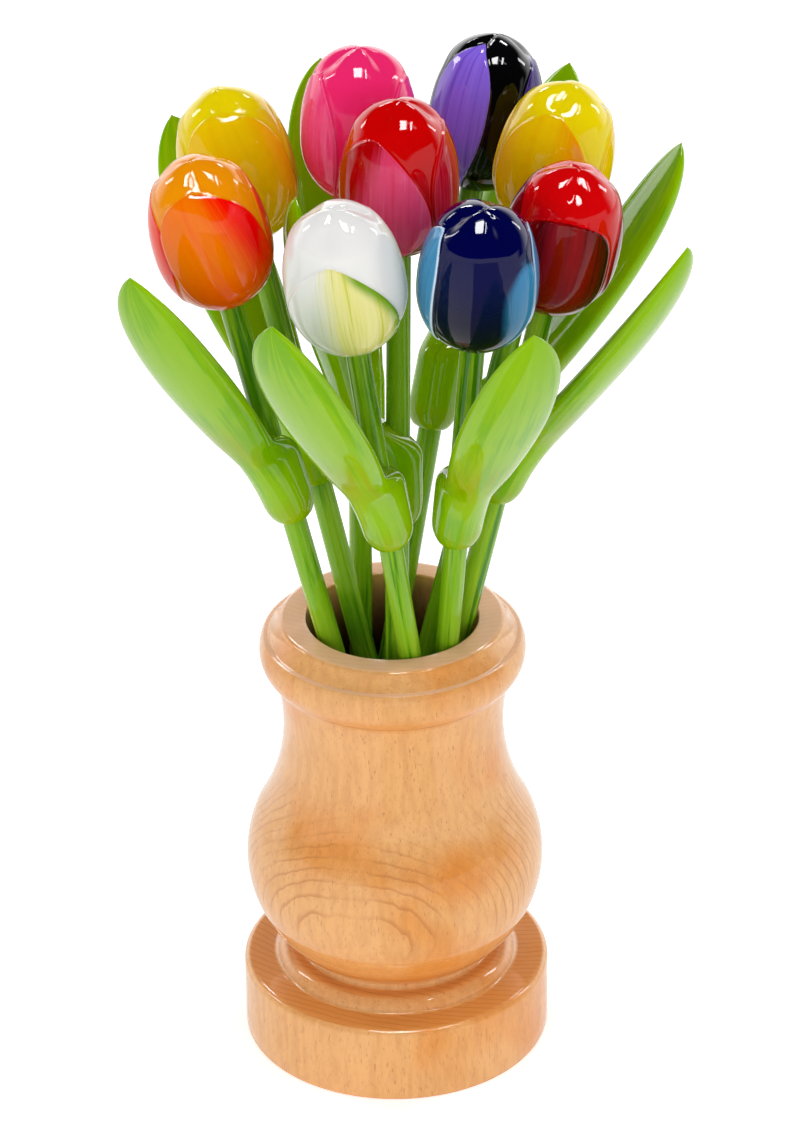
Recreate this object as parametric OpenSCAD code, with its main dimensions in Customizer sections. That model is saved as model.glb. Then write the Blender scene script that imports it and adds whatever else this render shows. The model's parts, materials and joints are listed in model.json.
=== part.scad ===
// Nine wooden tulips standing loose in a turned beech vase.
// The origin is the middle of the vase's underside, +Z is up, and the front faces -Y.

/* [Vase] */
// Height of the vase
vase_h = 162; // [150:1:180]
// Width of the foot
foot_d = 106; // [98:1:120]
// Height of the foot's flat top
foot_h = 28; // [22:1:32]
// Rounding of the foot's upper edge
foot_round = 2.5; // [1:0.5:5]
// Wood left under the bore
floor_t = 17; // [10:1:24]
// Wood between the bore and the waist
neck_wall = 8.5; // [6:0.1:12]
// How far the belly stands out past the waist
belly_out = 13.5; // [8:0.5:18]
// Height of the belly's widest point above the foot's top
belly_up = 41; // [38:1:45]
// Radius of the belly's curve
belly_arc = 42; // [38:1:46]
// How far the lip stands out past the waist
lip_out = 7.6; // [5:0.2:10]
// Radius of the lip's curve
lip_arc = 11.7; // [10:0.1:13]
// Thickness of the bead above the foot
bead_t = 4.6; // [3:0.2:6]

/* [Stems] */
// Thickness of a stem
stem_d = 8; // [6:0.5:10]
// Least room between two stems where they cross
stem_gap = 1.2; // [0.8:0.1:3]
// Room between the outermost stem and the bore
bore_play = 0.3; // [0.3:0.1:3]
// Glue gap round a stem in its bloom and leaf
glue_gap = 0.05; // [0.02:0.01:0.1]
// Gap under and over a stem's ends
seat_gap = 0.3; // [0.2:0.05:0.5]

/* [Blooms] */
// Length of a tulip from its foot to the top of its bloom
tulip_l = 342; // [330:1:380]
// Width of a bloom
bloom_d = 39; // [34:1:44]
// Height of a bloom
bloom_h = 54; // [46:1:62]
// Least room between two blooms
bloom_gap = 1; // [0.6:0.2:4]
// How far the three outer petals stand proud
petal_rise = 1.2; // [0.6:0.1:2]
// Depth of the hole for the stem
socket_depth = 16; // [10:1:22]

/* [Leaves] */
// How far up its stem a leaf begins
leaf_up = 196; // [190:1:206]
// Height of a leaf along the stem
leaf_h = 124; // [100:1:130]
// Width of a leaf's blade
leaf_w = 30.6; // [24:0.2:32]
// Thickness of the blade at its root
leaf_t = 11.2; // [8:0.2:13]
// How far the blade's tip leans out from the stem
leaf_lean = 37.5; // [30:0.5:40]
// Height of the knob that the stem runs through
knob_h = 30; // [20:1:34]
// Wood between the stem and the knob's back and sides
knob_wall = 4; // [3:0.2:6]

/* [Hidden] */
$fn = 64;

// A spread is the room that one bloom takes up in plan. Stems pass each other at stem_share of it.
stem_share = 0.23;
spread = max(bloom_d + bloom_gap, (stem_d + stem_gap) / stem_share);

// Each tulip: plan place of its foot and of its bloom's middle, in spreads, how much shorter it is than
// tulip_l, how much higher its leaf starts than leaf_up, the headings of its leaf and of one outer petal,
// and how much less its leaf leans than leaf_lean.
orange = [[0.242, 0.177], [-1.41, -0.71], 4.5, 1, -122, -72, 0];
yellow_left = [[0.494, -0.295], [-1.23, 0.63], 5, 0, 120, -75, 0];
pink = [[-0.304, 0.418], [-0.22, 0.65], 0.5, 1, 108, -160, 0];
white = [[0.582, 0.205], [-0.34, -1.45], 6.5, 1, -120, -90, 0];
centre_red = [[-0.018, -0.296], [0.1, -0.3], 2, -8, 204, -113, 6];
purple = [[-0.554, -0.176], [0.82, 1.4], 0, 9, 49, -120, 0];
blue = [[0.23, 0.53], [0.71, -1.42], 6, -1, -68, -158, 0];
dark_red = [[-0.13, 0.566], [1.39, -0.64], 8.5, 5, -32, -82, 0];
yellow_right = [[-0.428, 0.18], [1.37, 0.53], 3.5, 1, 15, -85, 0];
tulips = [orange, yellow_left, pink, white, centre_red, purple, blue, dark_red, yellow_right];

stem_r = stem_d / 2;
bore_in_wood = stem_r + glue_gap;
bloom_r = bloom_d / 2;

// How a tulip stands: its lean from upright, the heading it leans to and its foot's plan place.
function reach(tulip) = (tulip[1] - tulip[0]) * spread;
function stem_length(tulip) = tulip_l - tulip[2] - bloom_h;
function lean(tulip) = asin(norm(reach(tulip)) / (stem_length(tulip) + bloom_h / 2));
function heading(tulip) = atan2(reach(tulip).y, reach(tulip).x);
function foot_place(tulip) = tulip[0] * spread;
function foot_z(tulip) = floor_t + seat_gap + stem_r * sin(lean(tulip));

// Room that a leaning stem needs at the vase's floor and at its mouth, measured from the axis.
function slant_r(tulip) = stem_r / cos(lean(tulip));
function mouth_place(tulip) =
    foot_place(tulip) + reach(tulip) / norm(reach(tulip)) * (vase_h - foot_z(tulip)) * tan(lean(tulip));
function stem_room(tulip) = max(norm(foot_place(tulip)), norm(mouth_place(tulip))) + slant_r(tulip);
bore_r = max([for (tulip = tulips) stem_room(tulip)]) + bore_play;

// The vase's outline, as [radius, height].
foot_r = foot_d / 2;
base_bevel = 1;
waist_r = bore_r + neck_wall;
belly_r = waist_r + belly_out;
belly_c = [belly_r - belly_arc, foot_h + belly_up];
lip_c = [waist_r + lip_out - lip_arc, vase_h - lip_arc];
bead_r = bead_t / 2;
groove_r = 1.6;
root_z = foot_h + bead_t + 2 * groove_r;
root_r = belly_c.x + sqrt(pow(belly_arc, 2) - pow(belly_c.y - root_z, 2));
bead_c = [root_r + 1.2, foot_h + bead_r];
groove_c = [root_r, foot_h + bead_t + groove_r];
edge_round = 1.5;
ring_r = lip_c.x + 0.45 * lip_arc;
lip_step = 3.5;
arc_steps = 10;

function arc(centre, radius, from, to, steps = arc_steps) =
    [for (i = [0:steps]) let (a = from + (to - from) * i / steps) centre + radius * [cos(a), sin(a)]];
function angle(centre, point) = atan2(point.y - centre.y, point.x - centre.x);

// The neck's hollow curve leaves the belly without a corner, is upright at the waist, and ends under the
// lip at lip_root. Its middle is neck_up above the belly's widest point.
root_share = 0.32;
root_in = root_share * lip_out;
lip_root = [waist_r + root_in, lip_c.y - sqrt(pow(lip_arc, 2) - pow(waist_r + root_in - lip_c.x, 2))];
root_up = lip_root.y - belly_c.y;
ratio = belly_out / root_in;
room = belly_out * (2 * belly_arc - belly_out + root_in);
neck_up = (sqrt(ratio * pow(root_up, 2) + (1 - ratio) * room) - ratio * root_up) / (1 - ratio);
neck_arc = (pow(root_in, 2) + pow(root_up - neck_up, 2)) / (2 * root_in);
neck_c = [waist_r + neck_arc, belly_c.y + neck_up];
neck_start = angle(belly_c, neck_c);
neck_end = angle(neck_c, lip_root) + (angle(neck_c, lip_root) < 0 ? 360 : 0);
lip_top = asin(1 - lip_step / lip_arc);

module vase_outline() {
    polygon(concat(
        [[0, 0], [foot_r - base_bevel, 0], [foot_r, base_bevel]],
        arc([foot_r - foot_round, foot_h - foot_round], foot_round, 0, 90, 5),
        arc(bead_c, bead_r, -90, 90, 8),
        arc(groove_c, groove_r, 270, 90, 6),
        arc(belly_c, belly_arc, angle(belly_c, [root_r, root_z]), neck_start, 16),
        arc(neck_c, neck_arc, neck_start + 180, neck_end),
        arc(lip_c, lip_arc, angle(lip_c, lip_root), lip_top),
        arc([ring_r - edge_round, vase_h - edge_round], edge_round, 0, 90, 4),
        [[0, vase_h]]
    ));
}

module vase() {
    color("burlywood")
        difference() {
            rotate_extrude() vase_outline();
            translate([0, 0, floor_t]) cylinder(h = vase_h, r = bore_r);
        }
}

// A closed skin over a stack of rings that all have as many points, with its end points.
module loft(rings, low, high) {
    n = len(rings[0]);
    last = len(rings) - 1;
    top = n * (last + 1) + 1;
    polyhedron(
        points = concat([low], [for (ring = rings) each ring], [high]),
        faces = concat(
            [for (j = [0:n - 1]) [0, 1 + j, 1 + (j + 1) % n]],
            [for (i = [0:last - 1], j = [0:n - 1])
                let (a = 1 + i * n + j, b = 1 + i * n + (j + 1) % n) each [[a, b + n, b], [a, a + n, b + n]]],
            [for (j = [0:n - 1]) [top, top - n + (j + 1) % n, top - n + j]]
        )
    );
}

// Moves a piece from the stem's own frame, with the stem along +Z, to where the tulip stands.
module stand(tulip) {
    translate([foot_place(tulip).x, foot_place(tulip).y, foot_z(tulip)])
        rotate([0, lean(tulip), heading(tulip)])
        children();
}

module stem(tulip) {
    color("forestgreen")
        stand(tulip) cylinder(h = stem_length(tulip) + socket_depth - seat_gap, r = stem_r);
}

// A bloom is an egg whose widest place is at bulge of its height. The ring at latitude q, from -90 at
// the bottom to 90 at the top, lies at height share egg_t and has radius share egg_f.
bulge = 0.43;
function egg_t(q) =
    q < 0 ? bulge - bulge * pow(-sin(q), 0.91) : bulge + (1 - bulge) * pow(sin(q), 0.83);
function egg_f(q) = q < 0 ? cos(q) : pow(cos(q), 1.1);
// Half the width of an outer petal in degrees: a long lens from petal_low to petal_tip of the height.
petal_half = 54;
petal_low = -0.04;
petal_tip = 0.86;
petal_edge = 12;
function clamp01(x) = max(0, min(1, x));
function smooth(x) = let (c = clamp01(x)) c * c * (3 - 2 * c);
function petal_w(t) =
    let (share = clamp01((t - petal_low) / (petal_tip - petal_low)))
    petal_half * pow(1 - pow(abs(2 * share - 1), 2.2), 0.75);
// How much an outer petal covers the direction a, from 0 to 1.
function petal_cover(t, a) =
    t >= petal_tip ? 0 : smooth((petal_w(t) - abs((a + 420) % 120 - 60)) / petal_edge + 0.5);
bloom_rings = 14;
bloom_sides = 24;

function bloom_ring(q) =
    let (t = egg_t(q), f = egg_f(q))
    [for (i = [0:bloom_sides - 1])
        let (
            a = i * 360 / bloom_sides,
            r = (bloom_r - petal_rise) * f + petal_rise * petal_cover(t, a) * min(1, 1.5 * f)
        )
        [r * cos(a), r * sin(a), t * bloom_h]];

module bloom(tulip, paint) {
    color(paint)
        stand(tulip)
        translate([0, 0, stem_length(tulip)])
        difference() {
            rotate([0, 0, tulip[5] - heading(tulip)])
                loft(
                    [for (i = [1:bloom_rings]) bloom_ring(-90 + 180 * i / (bloom_rings + 1))],
                    [0, 0, 0],
                    [0, 0, bloom_h]
                );
            translate([0, 0, -1]) cylinder(h = socket_depth + 1, r = bore_in_wood);
        }
}

// A leaf in its stem's frame: a knob round the stem that runs up into a blade leaning out towards +X.
knob_half = stem_r + knob_wall;
knob_end = 8;
end_rim = 0.6;
blade_root = stem_r + seat_gap;
blade_grow = 6.8;
merge_from = knob_h - 6;
merge_to = knob_h + 12;
leaf_sides = 14;
function knob_out(w) = stem_r + end_rim + (knob_wall - end_rim) * sqrt(1 - pow(1 - min(w / knob_end, 1), 2));
// The cross-section at height w: its height, inner face, edge line, outer face and half width.
function leaf_section(w, lean_out) =
    let (
        t = max(0, (w - knob_h) / (leaf_h - knob_h)),
        blade_in = blade_root + lean_out * (1 - pow(1 - t, 1.1)),
        thick = max(0.6, leaf_t * pow(1 - pow(t, 4), 0.7)),
        merge = smooth((w - merge_from) / (merge_to - merge_from)),
        inner = -knob_out(w) + (blade_in + knob_out(w)) * merge,
        outer = w < knob_h
            ? knob_out(w) + (blade_root + leaf_t - knob_half) * pow(w / knob_h, 1.6)
            : blade_in + thick,
        root_half = leaf_w / 2 - blade_grow,
        open = 1 - pow(1 - min(t / 0.55, 1), 2),
        half = w < knob_h
            ? knob_out(w) + (root_half - knob_half) * w / knob_h
            : max(0.5, (root_half + blade_grow * open) * pow(1 - pow(t, 6), 0.8))
    )
    [w, inner, inner + (0.5 - 0.15 * merge) * (outer - inner), outer, half];
// A section's ring: round outwards from its edge line, and flatter inwards.
function leaf_ring(s) =
    [for (i = [0:leaf_sides - 1])
        let (
            a = -i * 360 / leaf_sides,
            u = sin(a) < 0 ? s[2] - (s[3] - s[2]) * sin(a) : s[2] - (s[2] - s[1]) * pow(abs(sin(a)), 0.7)
        )
        [u, s[4] * cos(a), s[0]]];
knob_shares = [0, 0.07, 0.17, 0.27, 0.5, 0.73, 0.87, 0.97];
blade_shares = [0.02, 0.05, 0.09, 0.13, 0.2, 0.35, 0.5, 0.65, 0.78, 0.87, 0.93, 0.97, 0.99, 1];
leaf_heights = concat(
    [for (share = knob_shares) share * knob_h],
    [for (share = blade_shares) knob_h + share * (leaf_h - knob_h)]
);

module leaf(tulip) {
    lean_out = leaf_lean - tulip[6];
    color("yellowgreen")
        stand(tulip)
        translate([0, 0, leaf_up + tulip[3]])
        rotate([0, 0, tulip[4] - heading(tulip)])
        difference() {
            loft(
                [for (w = leaf_heights) leaf_ring(leaf_section(w, lean_out))],
                [0.5, 0, 0],
                [leaf_section(leaf_h, lean_out)[2], 0, leaf_h + 0.3]
            );
            translate([0, 0, -1]) cylinder(h = leaf_h, r = bore_in_wood);
        }
}

vase();

bloom(orange, "darkorange");  // bloom_orange
bloom(yellow_left, "gold");  // bloom_yellow_left
bloom(pink, "deeppink");  // bloom_pink
bloom(white, "ivory");  // bloom_white
bloom(centre_red, "crimson");  // bloom_centre_red
bloom(purple, "indigo");  // bloom_purple
bloom(blue, "steelblue");  // bloom_blue
bloom(dark_red, "red");  // bloom_dark_red
bloom(yellow_right, "yellow");  // bloom_yellow_right

stem(orange);  // stem_orange
stem(yellow_left);  // stem_yellow_left
stem(pink);  // stem_pink
stem(white);  // stem_white
stem(centre_red);  // stem_centre_red
stem(purple);  // stem_purple
stem(blue);  // stem_blue
stem(dark_red);  // stem_dark_red
stem(yellow_right);  // stem_yellow_right

leaf(orange);  // leaf_orange
leaf(yellow_left);  // leaf_yellow_left
leaf(pink);  // leaf_pink
leaf(white);  // leaf_white
leaf(centre_red);  // leaf_centre_red
leaf(purple);  // leaf_purple
leaf(blue);  // leaf_blue
leaf(dark_red);  // leaf_dark_red
leaf(yellow_right);  // leaf_yellow_right
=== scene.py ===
"""Nine painted wooden tulips standing in a turned beech vase, dressed over the solid model."""

import json
import logging
import math
from dataclasses import dataclass, field
from enum import Enum

import bpy
import numpy as np
from mathutils import Matrix, Vector


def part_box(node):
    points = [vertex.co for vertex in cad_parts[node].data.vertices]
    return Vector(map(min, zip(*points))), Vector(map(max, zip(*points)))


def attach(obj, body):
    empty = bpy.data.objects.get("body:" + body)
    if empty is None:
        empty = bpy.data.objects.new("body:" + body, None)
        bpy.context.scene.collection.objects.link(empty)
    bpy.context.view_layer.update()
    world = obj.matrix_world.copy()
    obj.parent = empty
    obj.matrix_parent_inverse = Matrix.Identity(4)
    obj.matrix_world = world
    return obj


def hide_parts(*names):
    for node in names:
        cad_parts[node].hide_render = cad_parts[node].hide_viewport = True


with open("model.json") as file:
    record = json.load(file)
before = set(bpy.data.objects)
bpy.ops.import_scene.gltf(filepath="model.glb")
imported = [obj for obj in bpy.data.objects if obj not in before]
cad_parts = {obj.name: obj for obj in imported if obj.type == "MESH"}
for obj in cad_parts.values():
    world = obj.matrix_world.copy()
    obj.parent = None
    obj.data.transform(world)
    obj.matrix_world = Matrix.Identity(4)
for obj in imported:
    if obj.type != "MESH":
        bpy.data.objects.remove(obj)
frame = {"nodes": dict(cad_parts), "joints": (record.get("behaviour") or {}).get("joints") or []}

LOG = logging.getLogger("tulips")
MM = 0.001

Colour = tuple[float, float, float, float]
Point = tuple[float, float]
Node = bpy.types.Node
NodeTree = bpy.types.NodeTree
Socket = bpy.types.NodeSocket
Material = bpy.types.Material
Piece = bpy.types.Object


class Wave(Enum):
    """How many brush strokes run side by side on a petal."""

    FINE = 9.0
    BROAD = 4.5


class Side(Enum):
    """Which side of the front petal the second colour comes in from."""

    LEFT = -1.0
    RIGHT = 1.0


def smooth_step(x: np.ndarray | float) -> np.ndarray | float:
    """Eased 0 to 1 of x, clamped at both ends."""
    c = np.clip(x, 0.0, 1.0)
    return c * c * (3.0 - 2.0 * c)


def hump(x: np.ndarray, middle: float, width: float) -> np.ndarray:
    """A soft hump, 1 where x is at the middle and falling away on both sides."""
    return np.exp(-(((x - middle) / width) ** 2))


def srgb(red: int, green: int, blue: int) -> Colour:
    """Turns a screen colour into Blender's linear colour.

    Args:
        red: Red from 0 to 255.
        green: Green from 0 to 255.
        blue: Blue from 0 to 255.

    Returns:
        Linear red, green, blue and an alpha of 1.
    """
    linear = []
    for value in (red, green, blue):
        c = value / 255.0
        linear.append(c / 12.92 if c <= 0.04045 else ((c + 0.055) / 1.055) ** 2.4)
    return (linear[0], linear[1], linear[2], 1.0)


def new_object(name: str, points: np.ndarray, faces: list[tuple[int, ...]]) -> Piece:
    """Makes a smooth-shaded mesh object from points in metres.

    Args:
        name: The piece's name.
        points: One row of x, y, z for each vertex.
        faces: Vertex numbers of each face, anticlockwise seen from outside.

    Returns:
        The linked object.
    """
    mesh = bpy.data.meshes.new(name)
    mesh.from_pydata([tuple(p) for p in points], [], faces)
    mesh.validate()
    mesh.polygons.foreach_set("use_smooth", [True] * len(mesh.polygons))
    mesh.update()
    piece = bpy.data.objects.new(name, mesh)
    bpy.context.scene.collection.objects.link(piece)
    return piece


def set_attributes(piece: Piece, **values: np.ndarray) -> None:
    """Stores numbers for each vertex, for the material to read.

    Args:
        piece: The mesh object.
        values: Attribute names, each with one value for each vertex.
    """
    for name, numbers in values.items():
        attribute = piece.data.attributes.new(name, "FLOAT", "POINT")
        attribute.data.foreach_set("value", np.asarray(numbers, np.float32))


def ring_faces(rings: int, sides: int) -> list[tuple[int, ...]]:
    """Faces of a closed skin over stacked rings, whose lower and upper middle points come after them.

    Args:
        rings: How many rings there are.
        sides: How many points each ring has.

    Returns:
        The faces, facing outwards for rings that run anticlockwise seen from above.
    """
    faces: list[tuple[int, ...]] = []
    for i in range(rings - 1):
        for j in range(sides):
            a, b = i * sides + j, i * sides + (j + 1) % sides
            faces.append((a, b, b + sides, a + sides))
    low, high = rings * sides, rings * sides + 1
    last = (rings - 1) * sides
    faces.extend((low, (j + 1) % sides, j) for j in range(sides))
    faces.extend((high, last + j, last + (j + 1) % sides) for j in range(sides))
    return faces


class Nodes:
    """Short calls for wiring a node tree."""

    def __init__(self, tree: NodeTree) -> None:
        """Keeps the tree that the calls add to."""
        self.tree = tree

    def add(self, kind: str, **settings: object) -> Node:
        """Adds a node and sets its properties.

        Args:
            kind: The node's type, such as "ShaderNodeMath".
            settings: Property names with their values.

        Returns:
            The new node.
        """
        node = self.tree.nodes.new(kind)
        for name, value in settings.items():
            setattr(node, name, value)
        return node

    def link(self, source: object, target: object) -> None:
        """Wires an output socket to an input socket."""
        self.tree.links.new(source, target)

    def feed(self, socket: object, value: object) -> None:
        """Sets an input socket to a number or colour, or wires an output to it.

        Args:
            socket: The input socket.
            value: A plain value or an output socket.
        """
        if isinstance(value, Socket):
            self.link(value, socket)
        else:
            socket.default_value = value

    def math(self, operation: str, *values: object) -> Socket:
        """A Math node over the given values.

        Args:
            operation: The node's operation.
            values: Numbers or output sockets.

        Returns:
            The result's socket.
        """
        node = self.add("ShaderNodeMath", operation=operation)
        for i, value in enumerate(values):
            self.feed(node.inputs[i], value)
        return node.outputs[0]

    def plus(self, a: object, b: object) -> Socket:
        """The sum of two values."""
        return self.math("ADD", a, b)

    def minus(self, a: object, b: object) -> Socket:
        """The first value less the second."""
        return self.math("SUBTRACT", a, b)

    def times(self, a: object, b: object) -> Socket:
        """The product of two values."""
        return self.math("MULTIPLY", a, b)

    def over(self, a: object, b: object) -> Socket:
        """The first value divided by the second."""
        return self.math("DIVIDE", a, b)

    def most(self, a: object, b: object) -> Socket:
        """The greater of two values."""
        return self.math("MAXIMUM", a, b)

    def plain(self, a: object) -> Socket:
        """A value without its sign."""
        return self.math("ABSOLUTE", a)

    def length(self, a: object, b: object) -> Socket:
        """How long a line is that runs a one way and b the other way."""
        return self.math("SQRT", self.plus(self.times(a, a), self.times(b, b)))

    def span(self, value: object, low: float, high: float, to: Point = (0.0, 1.0)) -> Socket:
        """Eases a value from one range to another.

        Args:
            value: The number or socket.
            low: The value that gives to[0].
            high: The value that gives to[1].
            to: The two results.

        Returns:
            The result's socket.
        """
        node = self.add("ShaderNodeMapRange", interpolation_type="SMOOTHSTEP", clamp=True)
        for i, v in enumerate((value, low, high, *to)):
            self.feed(node.inputs[i], v)
        return node.outputs[0]

    def noise(self, vector: object, scale: float, detail: float = 3.0, rough: float = 0.5) -> Socket:
        """A noise value from 0 to 1.

        Args:
            vector: The socket with the place.
            scale: The noise's scale.
            detail: How many layers it has.
            rough: How strong the finer layers are.

        Returns:
            The value's socket.
        """
        node = self.add("ShaderNodeTexNoise")
        self.link(vector, node.inputs["Vector"])
        node.inputs["Scale"].default_value = scale
        node.inputs["Detail"].default_value = detail
        node.inputs["Roughness"].default_value = rough
        return node.outputs["Fac"]

    def mix(self, share: object, a: object, b: object, blend: str = "MIX") -> Socket:
        """Mixes two colours.

        Args:
            share: How much of b there is.
            a: The first colour or socket.
            b: The second colour or socket.
            blend: The blend type.

        Returns:
            The mixed colour's socket.
        """
        node = self.add("ShaderNodeMix", data_type="RGBA", blend_type=blend, clamp_factor=True)
        self.feed(node.inputs[0], share)
        self.feed(node.inputs[6], a)
        self.feed(node.inputs[7], b)
        return node.outputs[2]

    def attribute(self, name: str) -> Socket:
        """The value that a mesh attribute holds."""
        return self.add("ShaderNodeAttribute", attribute_name=name).outputs["Fac"]

    def vector(self, x: object, y: object, z: object) -> Socket:
        """A vector of three values."""
        node = self.add("ShaderNodeCombineXYZ")
        for i, value in enumerate((x, y, z)):
            self.feed(node.inputs[i], value)
        return node.outputs[0]

    def millimetres(self) -> Socket:
        """The place on the object in millimetres."""
        return self.stretched(1.0 / MM, 1.0 / MM, 1.0 / MM)

    def stretched(self, x: float, y: float, z: float) -> Socket:
        """The place on the object, scaled along each axis."""
        place = self.add("ShaderNodeTexCoord").outputs["Object"]
        node = self.add("ShaderNodeVectorMath", operation="MULTIPLY")
        self.link(place, node.inputs[0])
        node.inputs[1].default_value = (x, y, z)
        return node.outputs[0]


def group(
    name: str, inputs: dict[str, object], outputs: dict[str, str],
) -> tuple[NodeTree, Nodes, Node, Node]:
    """Starts a shader node group.

    Args:
        name: The group's name.
        inputs: Socket names with their defaults: a number or a colour of four numbers.
        outputs: Socket names with their socket types.

    Returns:
        The group, its wiring helper, and its input and output nodes.
    """
    tree = bpy.data.node_groups.new(name, "ShaderNodeTree")
    for label, default in inputs.items():
        kind = "NodeSocketColor" if isinstance(default, tuple) else "NodeSocketFloat"
        socket = tree.interface.new_socket(name=label, in_out="INPUT", socket_type=kind)
        socket.default_value = default
    for label, kind in outputs.items():
        tree.interface.new_socket(name=label, in_out="OUTPUT", socket_type=kind)
    n = Nodes(tree)
    return tree, n, n.add("NodeGroupInput"), n.add("NodeGroupOutput")


def brush_group() -> NodeTree:
    """Brush strokes that run along a carved petal, over its ground colour.

    Returns:
        The group, which puts out a colour and a height.
    """
    white = (1.0, 1.0, 1.0, 1.0)
    tree, n, start, end = group(
        "brushed paint",
        {
            "Ground": white, "Light": white, "Dark": white,
            "Strokes": 5.0, "Light Share": 0.5, "Dark Share": 0.5,
        },
        {"Color": "NodeSocketColor", "Height": "NodeSocketFloat"},
    )
    across, along, seed = n.attribute("across"), n.attribute("along"), n.attribute("petal")
    width = n.times(across, start.outputs["Strokes"])
    shift = n.times(seed, 7.3)
    fine = n.noise(n.vector(n.times(width, 4.0), n.times(along, 1.6), shift), 1.0, 4.0, 0.6)
    wide = n.noise(n.vector(width, n.times(along, 0.9), n.plus(shift, 3.1)), 1.0, 3.0, 0.55)
    both = n.plus(n.times(fine, 0.45), n.times(wide, 0.55))
    light = n.times(n.span(both, 0.50, 0.66), start.outputs["Light Share"])
    dark = n.times(n.span(both, 0.50, 0.36), start.outputs["Dark Share"])
    lit = n.mix(light, start.outputs["Ground"], start.outputs["Light"])
    n.link(n.mix(dark, lit, start.outputs["Dark"]), end.inputs["Color"])
    n.link(fine, end.inputs["Height"])
    return tree


def lacquer_group() -> NodeTree:
    """Fine unevenness of a hand-laid gloss coat over turned wood.

    Returns:
        The group, which puts out a height and a roughness.
    """
    tree, n, start, end = group(
        "hand lacquer", {"Grain": 1.0, "Under": 0.5},
        {"Height": "NodeSocketFloat", "Roughness": "NodeSocketFloat"},
    )
    peel = n.noise(n.millimetres(), 0.22, 2.0)
    grain = n.times(n.noise(n.stretched(1600.0, 1600.0, 160.0), 1.0, 2.0), start.outputs["Grain"])
    n.link(n.plus(peel, n.times(grain, 0.12)), end.inputs["Height"])
    spots = n.span(n.noise(n.millimetres(), 0.12, 3.0), 0.45, 0.75, (0.0, 0.2))
    n.link(n.plus(start.outputs["Under"], spots), end.inputs["Roughness"])
    return tree


GROUPS: dict[str, NodeTree] = {}


def place_group(n: Nodes, key: str, **values: object) -> Node:
    """Places a shared group in a material.

    Args:
        n: The material's wiring helper.
        key: Which group.
        values: Its inputs, with underscores for spaces.

    Returns:
        The group node.
    """
    node = n.add("ShaderNodeGroup", node_tree=GROUPS[key])
    for name, value in values.items():
        n.feed(node.inputs[name.replace("_", " ")], value)
    return node


@dataclass(frozen=True)
class Gloss:
    """The clear shine over a colour."""

    coat: float = 1.0
    roughness: float = 0.04
    ior: float = 1.42
    bump: float = 0.1
    under: float = 0.0

    def shader(self, n: Nodes, colour: object, height: object, roughness: object) -> None:
        """Adds the surface shader and its bump.

        Args:
            n: The material's wiring helper.
            colour: The base colour's socket.
            height: The bump's height socket.
            roughness: The roughness socket of the paint or wood under the clear layer.
        """
        shader = n.tree.nodes["Principled BSDF"]
        n.feed(shader.inputs["Base Color"], colour)
        n.feed(shader.inputs["Roughness"], roughness)
        shader.inputs["Specular IOR Level"].default_value = self.under
        shader.inputs["Coat Weight"].default_value = self.coat
        shader.inputs["Coat IOR"].default_value = self.ior
        shader.inputs["Coat Roughness"].default_value = self.roughness
        bump = n.add("ShaderNodeBump")
        bump.inputs["Strength"].default_value = self.bump
        bump.inputs["Distance"].default_value = 0.3 * MM
        n.link(height, bump.inputs["Height"])
        n.link(bump.outputs[0], shader.inputs["Normal"])
        n.link(bump.outputs[0], shader.inputs["Coat Normal"])


def new_material(name: str) -> tuple[Material, Nodes]:
    """Starts a material that uses nodes.

    Args:
        name: The material's name.

    Returns:
        The material and its wiring helper.
    """
    material = bpy.data.materials.new(name)
    material.use_nodes = True
    return material, Nodes(material.node_tree)


@dataclass(frozen=True)
class Shade:
    """A second colour brushed over one side of the front petal."""

    colour: Colour
    side: Side = Side.RIGHT
    start: float = 0.0
    end: float = 0.7
    upwards: float = 0.0
    ragged: float = 0.9


@dataclass(frozen=True)
class Outline:
    """The thin line along a petal's edge."""

    colour: Colour
    width: float = 0.45
    share: float = 0.6
    right_only: bool = False


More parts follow.
